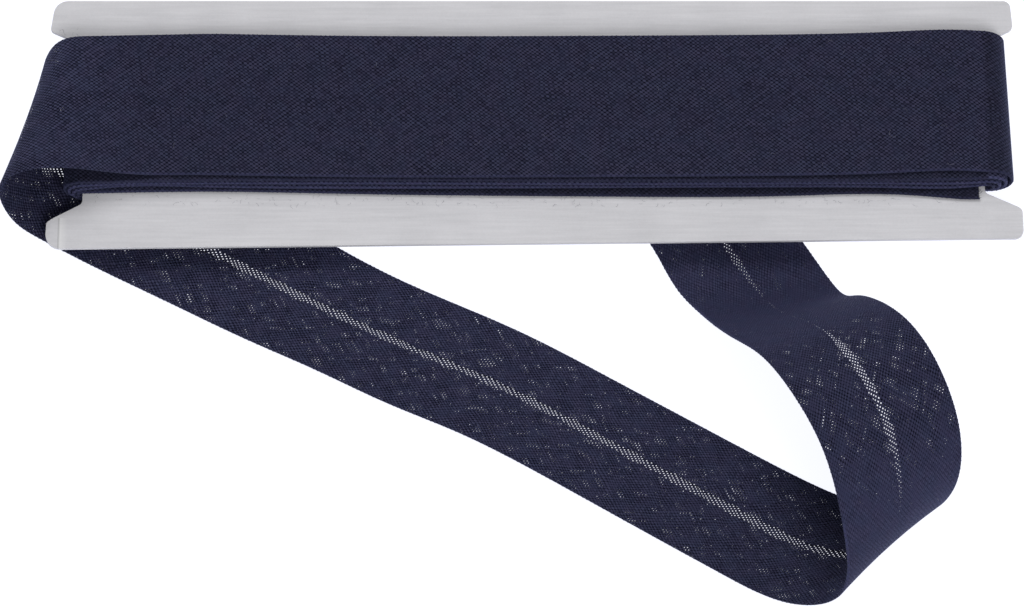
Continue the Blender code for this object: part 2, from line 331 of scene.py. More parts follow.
# Level patches where loose fibres lie: left, right, low, high, height
LINT_COLOUR = (0.22, 0.22, 0.27)
FLUFF_PATCHES = [
    (-57.0, 62.5, 13.7, 15.2, CARD_TOP + 0.03),
    (-60.5, 66.0, 36.9, 38.6, CARD_TOP + 0.03),
    (-62.0, -57.5, 38.6, 39.6, CARD_TOP + 0.03),
]
LINT_PATCHES = [
    (-54.0, 62.0, 18.5, 37.0, STACK_TOP + 0.02),
]
FRAY_PATCHES = [
    (62.9, 63.3, 14.6, 16.0, CARD_TOP + 0.35),
    (66.2, 66.5, 16.9, 17.4, CARD_MIDDLE + 0.5),
]

# The view: 20 degrees off the card's normal, from the loose end's side
LOOK_AT = (0.3, 1.3, 0.0)
VIEW_TILT = 20.0
VIEW_DISTANCE = 588.0
LENS = 153.0
SENSOR = 36.0

# The stage, in metres
FLOOR_HALF = 2.0
FLOOR_COLOUR = (0.22, 0.22, 0.22, 1.0)
FLOOR_GLOW = (0.88, 0.895, 1.0, 1.0)
FLOOR_GLOW_STRENGTH = 1.04
WORLD_STRENGTH = 0.3
LIGHTS = [
    # name, place, target, size, power
    ("front", (0.3, -0.75, 0.9), (0, 0, 0), 0.6, 6.0),
    ("back", (-0.1, 0.6, 1.0), (0, 0, 0), 0.6, 5.5),
]


class Nodes:
    """Adds nodes to one tree, so that a formula of a material reads like one."""

    def __init__(self, tree):
        self.tree = tree

    def add(self, kind, **settings):
        node = self.tree.nodes.new(kind)
        for name, value in settings.items():
            setattr(node, name, value)
        return node

    def put(self, socket, value):
        if isinstance(value, bpy.types.NodeSocket):
            self.tree.links.new(value, socket)
        else:
            socket.default_value = value

    def math(self, operation, *values):
        node = self.add("ShaderNodeMath", operation=operation)
        for socket, value in zip(node.inputs, values):
            self.put(socket, value)
        return node.outputs[0]

    def vector(self, x, y, z=0.0):
        node = self.add("ShaderNodeCombineXYZ")
        for socket, value in zip(node.inputs, (x, y, z)):
            self.put(socket, value)
        return node.outputs[0]

    def split(self, vector):
        node = self.add("ShaderNodeSeparateXYZ")
        self.put(node.inputs[0], vector)
        return node.outputs[0], node.outputs[1], node.outputs[2]

    def noise(self, vector, scale, detail=2.0, roughness=0.5):
        node = self.add("ShaderNodeTexNoise")
        self.put(node.inputs["Vector"], vector)
        self.put(node.inputs["Scale"], scale)
        self.put(node.inputs["Detail"], detail)
        self.put(node.inputs["Roughness"], roughness)
        return node.outputs["Fac"]

    def remap(self, value, low, high, to_low, to_high, smooth=False):
        node = self.add("ShaderNodeMapRange")
        if smooth:
            node.interpolation_type = "SMOOTHSTEP"
        for socket, setting in zip(node.inputs[:5], (value, low, high, to_low, to_high)):
            self.put(socket, setting)
        return node.outputs[0]

    def mix(self, share, first, second):
        node = self.add("ShaderNodeMix", data_type="RGBA")
        self.put(node.inputs[0], share)
        self.put(node.inputs[6], first)
        self.put(node.inputs[7], second)
        return node.outputs[2]


def new_material(name):
    """A new material, a node maker for its tree and its Principled shader."""
    material = bpy.data.materials.new(name)
    material.use_nodes = True
    tree = material.node_tree
    return material, Nodes(tree), tree.nodes["Principled BSDF"]


def yarns(make, x, y, angle, pitch, seed, closeness):
    """One set of parallel yarns: the running place across them, each yarn's number, how far a
    point is from that yarn's middle (0) to its side (1), and how thick the yarn is there."""
    sine = math.sin(math.radians(angle))
    cosine = math.cos(math.radians(angle))
    across = make.math("DIVIDE", make.math("ADD", make.math("MULTIPLY", x, -sine),
                                           make.math("MULTIPLY", y, cosine)), pitch)
    along = make.math("DIVIDE", make.math("ADD", make.math("MULTIPLY", x, cosine),
                                          make.math("MULTIPLY", y, sine)), pitch)
    spread = make.noise(make.vector(make.math("MULTIPLY", across, YARN_SPREAD_ACROSS),
                                    make.math("MULTIPLY", along, YARN_SPREAD_ALONG), seed), 1.0)
    place = make.math("ADD", across, make.math("MULTIPLY", spread, YARN_SPREAD))
    number = make.math("FLOOR", place)
    slub = make.noise(make.vector(make.math("MULTIPLY", number, SLUB_STEP),
                                  make.math("MULTIPLY", along, SLUB_ALONG), seed + SLUB_SEED), 1.0)
    width = make.remap(slub, *SLUB_RANGE, YARN_WIDTH - YARN_UNEVEN, YARN_WIDTH + YARN_UNEVEN)
    width = make.math("ADD", width, make.math("MULTIPLY", closeness, YARN_CLOSED))
    offset = make.math("ABSOLUTE", make.math("SUBTRACT", make.math("FRACT", place), 0.5))
    from_middle = make.math("DIVIDE", make.math("MULTIPLY", offset, 2.0), width)
    return place, number, from_middle, slub


def plain_weave(make, cloth, closeness):
    """Height of the surface from 0 to 1, how open it is, a tone and a chance for each crossing."""
    x, y, _ = make.split(cloth)
    x = make.math("MULTIPLY", x, 1 / MM)
    y = make.math("MULTIPLY", y, 1 / MM)
    place_a, number_a, from_a, slub_a = yarns(make, x, y, YARN_ANGLE, WARP_PITCH, WARP_SEED,
                                              closeness)
    place_b, number_b, from_b, slub_b = yarns(make, x, y, -YARN_ANGLE, WEFT_PITCH, WEFT_SEED,
                                              closeness)
    heights = []
    covers = []
    for own, number, place, sign, raised in ((from_a, number_a, place_b, 1.0, 0.0),
                                             (from_b, number_b, place_a, -1.0, SECOND_RAISED)):
        side = make.math("COSINE", make.math("MULTIPLY", number, math.pi))
        side = make.math("MULTIPLY", side, sign)
        wave = make.math("MULTIPLY", make.math("SINE", make.math("MULTIPLY", place, math.pi)), side)
        dome = make.math("SUBTRACT", 1.0, make.math("MULTIPLY", own, own))
        shape = make.math("ADD", make.math("MULTIPLY", wave, YARN_WAVE),
                          make.math("MULTIPLY", dome, YARN_DOME))
        height = make.math("ADD", YARN_LEVEL + raised, shape)
        cover = make.remap(own, YARN_SIDE, 1.0, 1.0, 0.0, smooth=True)
        heights.append(make.math("MULTIPLY", height, cover))
        covers.append(cover)
    height = make.math("MAXIMUM", heights[0], heights[1])
    open_share = make.math("MULTIPLY", make.math("SUBTRACT", 1.0, covers[0]),
                           make.math("SUBTRACT", 1.0, covers[1]))
    first_on_top = make.math("GREATER_THAN", heights[0], heights[1])
    second_on_top = make.math("SUBTRACT", 1.0, first_on_top)
    tones = []
    for slub, on_top, base in ((slub_a, first_on_top, WARP_TONE),
                               (slub_b, second_on_top, WEFT_TONE)):
        own_tone = make.remap(slub, *SLUB_TONE_RANGE, base * (1 - YARN_TONE),
                              base * (1 + YARN_TONE))
        tones.append(make.math("MULTIPLY", own_tone, on_top))
    tone = make.math("ADD", tones[0], tones[1])
    chance = make.add("ShaderNodeTexWhiteNoise", noise_dimensions="2D")
    make.put(chance.inputs["Vector"], make.vector(number_a, number_b))
    # Painted shade in the pinholes where the yarns' corners meet
    corner = make.math("MULTIPLY", from_a, from_b)
    pinhole = make.remap(corner, *PINHOLE_SIDE, 0.0, 1.0, smooth=True)
    tone = make.math("MULTIPLY", tone, make.math("SUBTRACT", 1.0, pinhole))
    return height, open_share, tone, chance.outputs["Value"]


def cloth_material():
    """Navy cotton in plain weave, cut on the bias, with daylight between its yarns."""
    material, make, shader = new_material("navy_cotton_weave")
    cloth = make.add("ShaderNodeUVMap", uv_map="cloth").outputs[0]
    closeness = make.add("ShaderNodeAttribute", attribute_name="closeness").outputs["Fac"]
    softness = make.add("ShaderNodeAttribute", attribute_name="softness").outputs["Fac"]
    patch = make.noise(cloth, PATCH_SCALE, 3.0)
    _, across, _ = make.split(cloth)
    from_seam = make.math("ABSOLUTE", make.math("SUBTRACT", across, FLAT_WIDTH / 2 * MM))
    # Painted highlight along the crest of each pressed fold, where the weave is closed
    from_fold = make.math("ABSOLUTE", make.math("SUBTRACT", from_seam,
                                                (FLAT_WIDTH / 4 + CREST_PAST) * MM))
    crest_highlight = make.remap(from_fold, 0.0, CREST_WIDTH * MM, 1.0, 0.0, smooth=True)
    crest_highlight = make.math("MULTIPLY", crest_highlight, make.remap(closeness, *CREST_CLOSENESS, 0.0, 1.0))
    off_seam = make.remap(from_seam, SEAM_OPEN[0] * MM, SEAM_OPEN[1] * MM, 0.0, 1.0)
    patchy = make.remap(make.noise(cloth, OPEN_SCALE, 1.0), *OPEN_RANGE, 0.0, 1.0)
    tight = make.math("ADD", closeness, make.math("MULTIPLY", patchy, off_seam))
    tight = make.math("MINIMUM", tight, MOST_CLOSED)
    height, open_share, tone, chance = plain_weave(make, cloth, tight)
    # Painted shade between the yarns and a painted highlight on their crowns, from the weave's
    # height
    shade = make.remap(height, GAP_HEIGHT, TOP_HEIGHT, 0.0, 1.0)
    shade = make.math("MULTIPLY", shade, tone)
    shade = make.math("MULTIPLY", shade, make.remap(chance, 0.0, 1.0, 1 - CROSSING_TONE,
                                                    1 + CROSSING_TONE))
    shade = make.math("MULTIPLY", shade, make.remap(patch, *PATCH_RANGE, 1 - PATCH_TONE,
                                                    1 + PATCH_TONE))
    crisp = make.mix(shade, NAVY_DARK, NAVY_LIGHT)
    worn = make.remap(make.noise(cloth, WORN_SCALE, 2.0), *WORN_RANGE, 0.0, WORN_SHARE)
    soft = make.math("ADD", make.math("MULTIPLY", softness, SOFT_SHARE), worn)
    soft = make.math("ADD", soft, make.math("MULTIPLY", crest_highlight, CREST_SOFT))
    soft = make.math("MINIMUM", soft, 1.0)
    hue = make.remap(make.noise(cloth, HUE_SCALE, 2.0), *HUE_RANGE, 0.0, 1.0)
    tint = make.mix(hue, COOL_TINT, WARM_TINT)
    # Softened weave, mixed towards a colour that is partly a painted sheen
    colour = make.mix(soft, crisp, NAVY_SOFT_AND_SHEEN)
    tinted = make.add("ShaderNodeVectorMath", operation="MULTIPLY")
    make.put(tinted.inputs[0], colour)
    make.put(tinted.inputs[1], tint)
    toned = make.add("ShaderNodeVectorMath", operation="SCALE")
    make.put(toned.inputs[0], tinted.outputs[0])
    # The run's painted light and shade, raised further by the painted highlight on the folds'
    # crests
    run_light_and_shade = make.add("ShaderNodeAttribute", attribute_name="tone").outputs["Fac"]
    lighter = make.math("ADD", 1.0, make.math("MULTIPLY", crest_highlight, CREST_HIGHLIGHT))
    make.put(toned.inputs["Scale"], make.math("MULTIPLY", run_light_and_shade, lighter))
    make.put(shader.inputs["Base Color"], toned.outputs[0])
    make.put(shader.inputs["Alpha"], make.math("SUBTRACT", 1.0, open_share))
    bump = make.add("ShaderNodeBump")
    bump.inputs["Strength"].default_value = WEAVE_BUMP
    bump.inputs["Distance"].default_value = YARN_RELIEF * MM
    make.put(bump.inputs["Height"], height)
    make.put(shader.inputs["Normal"], bump.outputs[0])
    shader.inputs["Roughness"].default_value = CLOTH_ROUGHNESS
    shader.inputs["Specular IOR Level"].default_value = CLOTH_SPECULAR
    shader.inputs["Sheen Weight"].default_value = FUZZ_WEIGHT
    shader.inputs["Sheen Roughness"].default_value = FUZZ_ROUGHNESS
    shader.inputs["Sheen Tint"].default_value = FUZZ_TINT
    return material


def card_material():
    """Grey-white board with a faint lengthwise grain, soft mottling and fine fibres."""
    material, make, shader = new_material("grey_white_card")
    place = make.add("ShaderNodeTexCoord").outputs["Object"]
    x, y, z = make.split(place)
    grain = make.noise(make.vector(make.math("MULTIPLY", x, GRAIN_STRETCH), y, z), GRAIN_SCALE, 4.0)
    mottle = make.noise(place, MOTTLE_SCALE, 3.0)
    fibre = make.noise(place, FIBRE_SCALE, 2.0)
    shade = make.math("ADD", make.math("MULTIPLY", grain, GRAIN_SHARE),
                      make.math("MULTIPLY", mottle, MOTTLE_SHARE))
    shade = make.math("ADD", shade, make.math("MULTIPLY", fibre, FIBRE_SHARE))
    board = make.mix(make.remap(shade, *SHADE_RANGE, 0.0, 1.0), CARD_DARK, CARD_LIGHT)
    # Painted shade along the bent corner's crease and a painted highlight on the facet beside it
    beyond = make.math("SUBTRACT", x, CREASE_X * MM)
    below = make.math("LESS_THAN", y, CREASE_TOP * MM)
    fold = make.remap(make.math("ABSOLUTE", beyond), 0.0, CREASE_WIDTH * MM, CREASE_STRENGTH, 0.0,
                      smooth=True)
    facet = make.remap(beyond, 0.0, CREASE_FACET * MM, FACET_STRENGTH, 0.0)
    facet = make.math("MULTIPLY", facet, make.math("GREATER_THAN", beyond, 0.0))
    board = make.mix(make.math("MULTIPLY", facet, below), board, CARD_FACET_HIGHLIGHT)
    board = make.mix(make.math("MULTIPLY", fold, below), board, CARD_CREASE_SHADE)
    make.put(shader.inputs["Base Color"], board)
    bump = make.add("ShaderNodeBump")
    bump.inputs["Strength"].default_value = GRAIN_BUMP
    bump.inputs["Distance"].default_value = GRAIN_DEPTH * MM
    make.put(bump.inputs["Height"], make.math("ADD", grain, fibre))
    make.put(shader.inputs["Normal"], bump.outputs[0])
    shader.inputs["Roughness"].default_value = CARD_ROUGHNESS
    shader.inputs["Specular IOR Level"].default_value = CARD_SPECULAR
    return material


def round_corner(before, corner, after, radius, steps):
    """Points of an arc that rounds one corner of an outline."""
    to_before = (np.array(before) - corner) / np.linalg.norm(np.array(before) - corner)
    to_after = (np.array(after) - corner) / np.linalg.norm(np.array(after) - corner)
    half = math.acos(float(np.clip(to_before @ to_after, -1.0, 1.0))) / 2
    middle = (to_before + to_after) / np.linalg.norm(to_before + to_after)
    centre = np.array(corner) + middle * radius / math.sin(half)
    start = np.array(corner) + to_before * radius / math.tan(half) - centre
    end = np.array(corner) + to_after * radius / math.tan(half) - centre
    sweep = math.pi - 2 * half
    arc = []
    for step in range(steps + 1):
        part = sweep * step / steps
        spoke = (math.sin(sweep - part) * start + math.sin(part) * end) / math.sin(sweep)
        arc.append(tuple(centre + spoke))
    return arc


def finish_piece(mesh, name, material, node):
    """An object for a finished mesh, riding on the part and standing for its solid."""
    mesh.materials.append(material)
    mesh.shade_smooth()
    piece = bpy.data.objects.new(name, mesh)
    bpy.context.scene.collection.objects.link(piece)
    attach(piece, "root")
    if node:
        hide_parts(node)
    return piece


def make_card(material):
    """The die-cut card with softly rounded cut edges and its lower left corner bent down."""
    outline = []
    count = len(CARD_CORNERS)
    for index, (x, y, radius) in enumerate(CARD_CORNERS):
        before = CARD_CORNERS[index - 1][:2]
        after = CARD_CORNERS[(index + 1) % count][:2]
        outline += round_corner(before, (x, y), after, radius, CORNER_STEPS)
    shell = bmesh.new()
    verts = [shell.verts.new((x, y, CARD_BOTTOM)) for x, y in outline]
    bottom = shell.faces.new(verts)
    raised = bmesh.ops.extrude_face_region(shell, geom=[bottom])
    for item in raised["geom"]:
        if isinstance(item, bmesh.types.BMVert):
            item.co.z = CARD_TOP
    bmesh.ops.recalc_face_normals(shell, faces=shell.faces)
    cuts = [((x, 0, 0), (1, 0, 0)) for x in np.arange(*CARD_CUTS_ALONG)]
    cuts += [((CREASE_X + nudge, 0, 0), (1, 0, 0)) for nudge in CREASE_CUTS]
    cuts += [((0, y, 0), (0, 1, 0)) for y in (CREASE_TOP,) + CARD_CUTS_ACROSS]
    for place, normal in cuts:
        everything = shell.verts[:] + shell.edges[:] + shell.faces[:]
        bmesh.ops.bisect_plane(shell, geom=everything, plane_co=place, plane_no=normal, dist=1e-5)
    for vert in shell.verts:
        beyond = CREASE_X - vert.co.x
        if beyond > 0 and vert.co.y < CREASE_TOP - 0.01:
            vert.co.z -= CREASE_DROP * beyond
    mesh = bpy.data.meshes.new("card_board")
    for vert in shell.verts:
        vert.co *= MM
    shell.to_mesh(mesh)
    shell.free()
    piece = finish_piece(mesh, "card_board", material, "card")
    bevel = piece.modifiers.new("cut edge", "BEVEL")
    bevel.width = CARD_EDGE_ROUND * MM
    bevel.segments = CARD_EDGE_SEGMENTS
    bevel.limit_method = "ANGLE"
    bevel.angle_limit = math.radians(CARD_EDGE_ANGLE)
    bpy.context.view_layer.update()
    graph = bpy.context.evaluated_depsgraph_get()
    finished = bpy.data.meshes.new_from_object(piece.evaluated_get(graph))
    piece.modifiers.clear()
    piece.data = finished
    finished.set_sharp_from_angle(angle=math.radians(CARD_SHARP_ANGLE))
    return piece


def spline_through(table, place, wanted):
    """A natural cubic spline through the table's rows, read at the wanted places."""
    gap = np.diff(place)
    count = len(place)
    system = np.eye(count)
    right = np.zeros_like(table)
    for row in range(1, count - 1):
        system[row, row - 1] = gap[row - 1]
        system[row, row] = 2 * (gap[row - 1] + gap[row])
        system[row, row + 1] = gap[row]
        right[row] = 6 * ((table[row + 1] - table[row]) / gap[row]
                          - (table[row] - table[row - 1]) / gap[row - 1])
    curve = np.linalg.solve(system, right)
    row = np.clip(np.searchsorted(place, wanted, side="right") - 1, 0, count - 2)
    after = ((wanted - place[row]) / gap[row])[:, None]
    before = 1 - after
    bend = (before ** 3 - before) * curve[row] + (after ** 3 - after) * curve[row + 1]
    return before * table[row] + after * table[row + 1] + bend * (gap[row] ** 2)[:, None] / 6


def winding_stations():
    """Places along the wound tape: run, x, z, outward x and z, slack, layer spacing and layer.

    It starts at the cut end on the card's front, and each lap goes left on the front, round the
    left end, right on the back and round the right end.
    """
    front_step = (STACK_TOP - CARD_TOP - LAYER_CLEARANCE) / FRONT_LAYERS
    back_step = (CARD_BOTTOM - STACK_BOTTOM - LAYER_CLEARANCE) / BACK_LAYERS
    half = CARD_THICKNESS / 2 + LAYER_CLEARANCE
    stations = []
    keys = []
    run = 0.0

    def straight(layer, start, end, height, side, places, spacing):
        nonlocal run
        count = max(2, round(abs(end - start) / STRAIGHT_STEP))
        for x, y in places:
            keys.append((run + abs(x - start), y))
        for step in range(count + 1):
            x = start + (end - start) * step / count
            stations.append((run + abs(x - start), x, CARD_MIDDLE + side * height, 0.0, side, 0.0,
                             spacing, layer))
        run += abs(end - start)

    def turn(layer, x, side, from_height, to_height, start_side, lower, slack):
        nonlocal run
        length = math.pi * (from_height + to_height) / 2
        keys.append((run + length / 2, lower))
        for step in range(1, TURN_STEPS):
            angle = math.pi * step / TURN_STEPS
            height = from_height + (to_height - from_height) * step / TURN_STEPS
            out_x = side * math.sin(angle)
            out_z = start_side * math.cos(angle)
            stations.append((run + length * step / TURN_STEPS, x + height * out_x,
                             CARD_MIDDLE + height * out_z, out_x, out_z,
                             slack * math.sin(angle), (front_step + back_step) / 2, layer))
        run += length

    for layer in range(FRONT_LAYERS):
        left, _, back_right, back_left = TURN_EDGES[layer]
        front = half + (layer + 0.5) * front_step
        back = half + (layer + 0.5) * back_step
        start = CUT_END if layer == 0 else NECK_RIGHT
        fronts = list(zip(FRONT_PLACES, FRONT_EDGES[layer]))[::-1]
        if layer == FRONT_LAYERS - 1:
            lift_off = LOOSE_TAPE[0][0] + LIFT_EASE
            before = [place for place in fronts if place[0] > lift_off]
            straight(layer, start, lift_off, front, 1, before, front_step)
            keys.append((run, LOOSE_TAPE[0][4]))
            break
        straight(layer, start, NECK_LEFT, front, 1, fronts, front_step)
        turn(layer, NECK_LEFT, -1, front, back, 1, left, 0.0)
        backs = ((BACK_LEFT, back_left), (BACK_RIGHT, back_right))
        straight(layer, NECK_LEFT, NECK_RIGHT, back, -1, backs, back_step)
        next_front = half + (layer + 1.5) * front_step
        share = (layer + 1) / BACK_LAYERS
        turn(layer, NECK_RIGHT, 1, back, next_front, -1, TURN_EDGES[layer + 1][1], share)
    return np.array(stations), np.array(keys)


def tape_edges():
    """The tape's upper and lower edge from its first end to its last, the split between the part
    that is wound and the part that has come loose, and the tape's state along it."""
    stations, keys = winding_stations()
    run, x, z, out_x, out_z, slack, spacing, layer = stations.T
    lower_y = spline_through(keys[:, 1:], keys[:, 0], run)[:, 0]
    lower_y = np.where(run < keys[0, 0], keys[0, 1], lower_y)
    upper_out = slack * RIGHT_SLACK_UPPER
    lower_out = slack * RIGHT_SLACK_LOWER
    upper = np.stack([x + upper_out * out_x, lower_y + TAPE_WIDTH, z + upper_out * out_z], axis=1)
    lower = np.stack([x + lower_out * out_x, lower_y, z + lower_out * out_z], axis=1)
    wound = np.concatenate([upper, lower], axis=1)

    table = np.concatenate([wound[-6:-1:2], np.array(LOOSE_TAPE)])
    middle = (table[:, :3] + table[:, 3:]) / 2
    place = np.concatenate([[0.0], np.cumsum(np.linalg.norm(np.diff(middle, axis=0), axis=1))])
    wanted = np.linspace(place[2], place[-1], round((place[-1] - place[2]) / LOOSE_STEP))
    loose = spline_through(table, place, wanted)
    for height in (2, 5):
        loose[:, height] = np.maximum(loose[:, height], PLY_APART / 2 + FLOOR_CLEARANCE)
    whole = np.concatenate([wound[:-2], loose])
    split = int(np.argmin(np.abs(run - (run[-1] - SPLIT_BACK))))

    table = np.array(LOOSE_STATE)
    row = np.interp(wanted, place[3:], np.arange(len(LOOSE_TAPE)))
    state = [np.full(len(wound) - 2, value) for value in WOUND_STATE]
    # Painted light and shade of each wound layer
    layer_light_and_shade = np.array(LAYER_LIGHT_AND_SHADE)[layer[:-2].astype(int)]
    innermost_painted_shade = np.interp(x[:-2], FIRST_LAYER_FADE, (FIRST_LAYER_LEFT, LAYER_LIGHT_AND_SHADE[0]))
    state[PAINTED_SHADING] = np.where(layer[:-2] == 0, innermost_painted_shade, layer_light_and_shade)
    for column, wound_part in enumerate(state):
        loose_part = np.interp(row, table[:, 0], table[:, column + 1])
        state[column] = np.concatenate([wound_part, loose_part])
    thickness = spacing * LAYER_FILL / PLY_APART
    eased = np.interp(row, (0.0, THICKNESS_EASE), (thickness[-1], 1.0))
    state.append(np.concatenate([thickness[:-2], eased]))
    along = edge_run(whole[:, :3])
    for wave in SEAM_WAVES:
        state[GAP] += state[GAP] * SEAM_UNEVEN * np.sin(2 * math.pi * along / wave)
    state[GAP] = np.maximum(state[GAP], SEAM_LEAST)
    return whole, split, np.array(state)


def fold_profile():
    """Points across the folded tape, from one raw edge round both folds to the other.

    Columns: share of the width, how far the seam's gap moves the point, how far the fold does,
    and height in half plies. The second result is each point's place on the flat cloth.
    """
    half = PLY_APART / 2
    rows = []
    for step in range(FLAP_STEPS):
        share = 0.5 - 0.5 * step / FLAP_STEPS
        rows.append((share, -share, half * (1 - 2 * share), -1.0))
    for step in range(FOLD_STEPS + 1):
        angle = math.pi * step / FOLD_STEPS
        rows.append((0.0, 0.0, half * (1 - math.sin(angle)), -math.cos(angle)))
    for step in range(1, FACE_STEPS):
        share = step / FACE_STEPS
        rows.append((share, 0.0, half * (1 - 2 * share), 1.0))
    for step in range(FOLD_STEPS + 1):
        angle = math.pi * step / FOLD_STEPS
        rows.append((1.0, 0.0, -half * (1 - math.sin(angle)), math.cos(angle)))
    for step in reversed(range(FLAP_STEPS)):
        share = 0.5 + 0.5 * step / FLAP_STEPS
        rows.append((share, 1 - share, half * (1 - 2 * share), -1.0))
    profile = np.array(rows)
    across = profile[:, 0] * TAPE_WIDTH + profile[:, 1] * SEAM_GAP + profile[:, 2]
    rise = profile[:, 3] * half
    flat = np.concatenate([[0.0], np.cumsum(np.hypot(np.diff(across), np.diff(rise)))])
    return profile, flat


def make_tape(name, edges, material, node, run_upper, run_lower, state):
    """One stretch of the folded tape between two edges, with its weave's coordinates."""
    upper = edges[:, :3]
    lower = edges[:, 3:]
    profile, flat = fold_profile()
    half = PLY_APART / 2
    sideways = lower - upper
    width = np.linalg.norm(sideways, axis=1)[:, None]
    thickness = state[THICKNESS][:, None]
    shift = profile[None, :, 1] * state[GAP][:, None] + profile[None, :, 2] * thickness
    share = profile[None, :, 0] + shift / width
    middle = upper[:, None, :] + share[:, :, None] * sideways[:, None, :]
    along = np.gradient(middle, axis=0)
    outward = np.cross(along, np.broadcast_to(sideways[:, None, :], along.shape))
    outward /= np.linalg.norm(outward, axis=2)[:, :, None]
    points = middle + outward * (half * thickness * profile[None, :, 3])[:, :, None]
    points[:, :, 2] = np.maximum(points[:, :, 2], LEAST_HEIGHT)
    rows, columns = points.shape[:2]
    faces = []
    for row in range(rows - 1):
        for column in range(columns - 1):
            first = row * columns + column
            faces.append((first, first + columns, first + columns + 1, first + 1))
    mesh = bpy.data.meshes.new(name)
    mesh.from_pydata((points.reshape(-1, 3) * MM).tolist(), [], faces)
    run = run_upper[:, None] * (1 - share) + run_lower[:, None] * share
    places = np.stack([run, np.broadcast_to(flat, run.shape)], axis=2).reshape(-1, 2)
    layer = mesh.uv_layers.new(name="cloth")
    corners = np.empty(len(mesh.loops), dtype=np.int32)
    mesh.loops.foreach_get("vertex_index", corners)
    layer.data.foreach_set("uv", (places[corners] * MM).astype(np.float32).ravel())
    # The tone attribute carries the painted light and shade along the run
    for label, number in (("closeness", CLOSENESS), ("softness", SOFTNESS_WITH_SHEEN), ("tone", PAINTED_SHADING)):
        attribute = mesh.attributes.new(label, "FLOAT", "POINT")
        attribute.data.foreach_set("value", np.repeat(state[number], columns).astype(np.float32))
    return finish_piece(mesh, name, material, node)


def edge_run(points):
    """Length along a line of points, at each of them."""
    return np.concatenate([[0.0], np.cumsum(np.linalg.norm(np.diff(points, axis=0), axis=1))])


def make_tapes(material, edges, split, state):
    """The wound turns and the loose turn, two stretches of one strip."""
    run_upper = edge_run(edges[:, :3])
    run_lower = edge_run(edges[:, 3:])
    middle = (run_upper + run_lower) / 2
    lean = (run_lower - run_upper) / 2
    free = int(np.argmin(np.abs(run_upper - run_upper[split] - SPLIT_BACK)))
    lean = np.where(np.arange(len(lean)) > free, lean - lean[free], 0.0)
    run_upper = middle - lean
    run_lower = middle + lean
    for name, node, part in (("wound_turns", "wound_tape", slice(0, split + 1)),
                             ("loose_turn", "loose_tape", slice(split, None))):
        piece = make_tape(name, edges[part], material, node, run_upper[part], run_lower[part],
                          state[:, part])


def new_tree(name, inputs):
    """A Geometry Nodes tree with a geometry input and output and the named inputs."""
    tree = bpy.data.node_groups.new(name, "GeometryNodeTree")
    tree.interface.new_socket(name="Geometry", in_out="INPUT", socket_type="NodeSocketGeometry")
    for label, kind in inputs:
        tree.interface.new_socket(name=label, in_out="INPUT", socket_type="NodeSocket" + kind)
    tree.interface.new_socket(name="Geometry", in_out="OUTPUT", socket_type="NodeSocketGeometry")
    make = Nodes(tree)
    return tree, make, make.add("NodeGroupInput").outputs, make.add("NodeGroupOutput").inputs


def finish_tree(make, instances, material, result):
    """End a tree in real geometry with its material set."""
    real = make.add("GeometryNodeRealizeInstances")
    make.put(real.inputs[0], instances)
    dressed = make.add("GeometryNodeSetMaterial")
    make.put(dressed.inputs["Geometry"], real.outputs[0])
    make.put(dressed.inputs["Material"], material)
    make.put(result["Geometry"], dressed.outputs[0])


def random_number(make, low, high, seed):
    """A random number for each instance."""
    node = make.add("FunctionNodeRandomValue", data_type="FLOAT")
    make.put(node.inputs[2], low)
    make.put(node.inputs[3], high)
    make.put(node.inputs["Seed"], seed)
    return node.outputs[1]


def crown_tree():
    """Small rounded yarn crowns, evenly spaced along the lines of a mesh."""
    tree, make, given, result = new_tree("yarn_crowns", (
        ("Pitch", "Float"), ("Length", "Float"), ("Thickness", "Float"), ("Uneven", "Float"),
        ("Seed", "Int"), ("Material", "Material")))
    line = make.add("GeometryNodeMeshToCurve")
    make.put(line.inputs["Mesh"], given["Geometry"])
    spaced = make.add("GeometryNodeResampleCurve", mode="LENGTH")
    make.put(spaced.inputs["Curve"], line.outputs[0])
    make.put(spaced.inputs["Length"], given["Pitch"])
    ball = make.add("GeometryNodeMeshIcoSphere")
    ball.inputs["Radius"].default_value = 1.0
    ball.inputs["Subdivisions"].default_value = 1
    aim = make.add("FunctionNodeAlignRotationToVector", axis="X")
    make.put(aim.inputs["Vector"], make.add("GeometryNodeInputTangent").outputs[0])
    change = random_number(make, make.math("SUBTRACT", 1.0, given["Uneven"]), 1.0, given["Seed"])
    thickness = make.math("MULTIPLY", given["Thickness"], change)
    placed = make.add("GeometryNodeInstanceOnPoints")
    make.put(placed.inputs["Points"], spaced.outputs[0])
    make.put(placed.inputs["Instance"], ball.outputs[0])
    make.put(placed.inputs["Rotation"], aim.outputs[0])
    make.put(placed.inputs["Scale"], make.vector(make.math("MULTIPLY", given["Length"], change),
                                                 thickness, thickness))
    finish_tree(make, placed.outputs[0], given["Material"], result)
    return tree


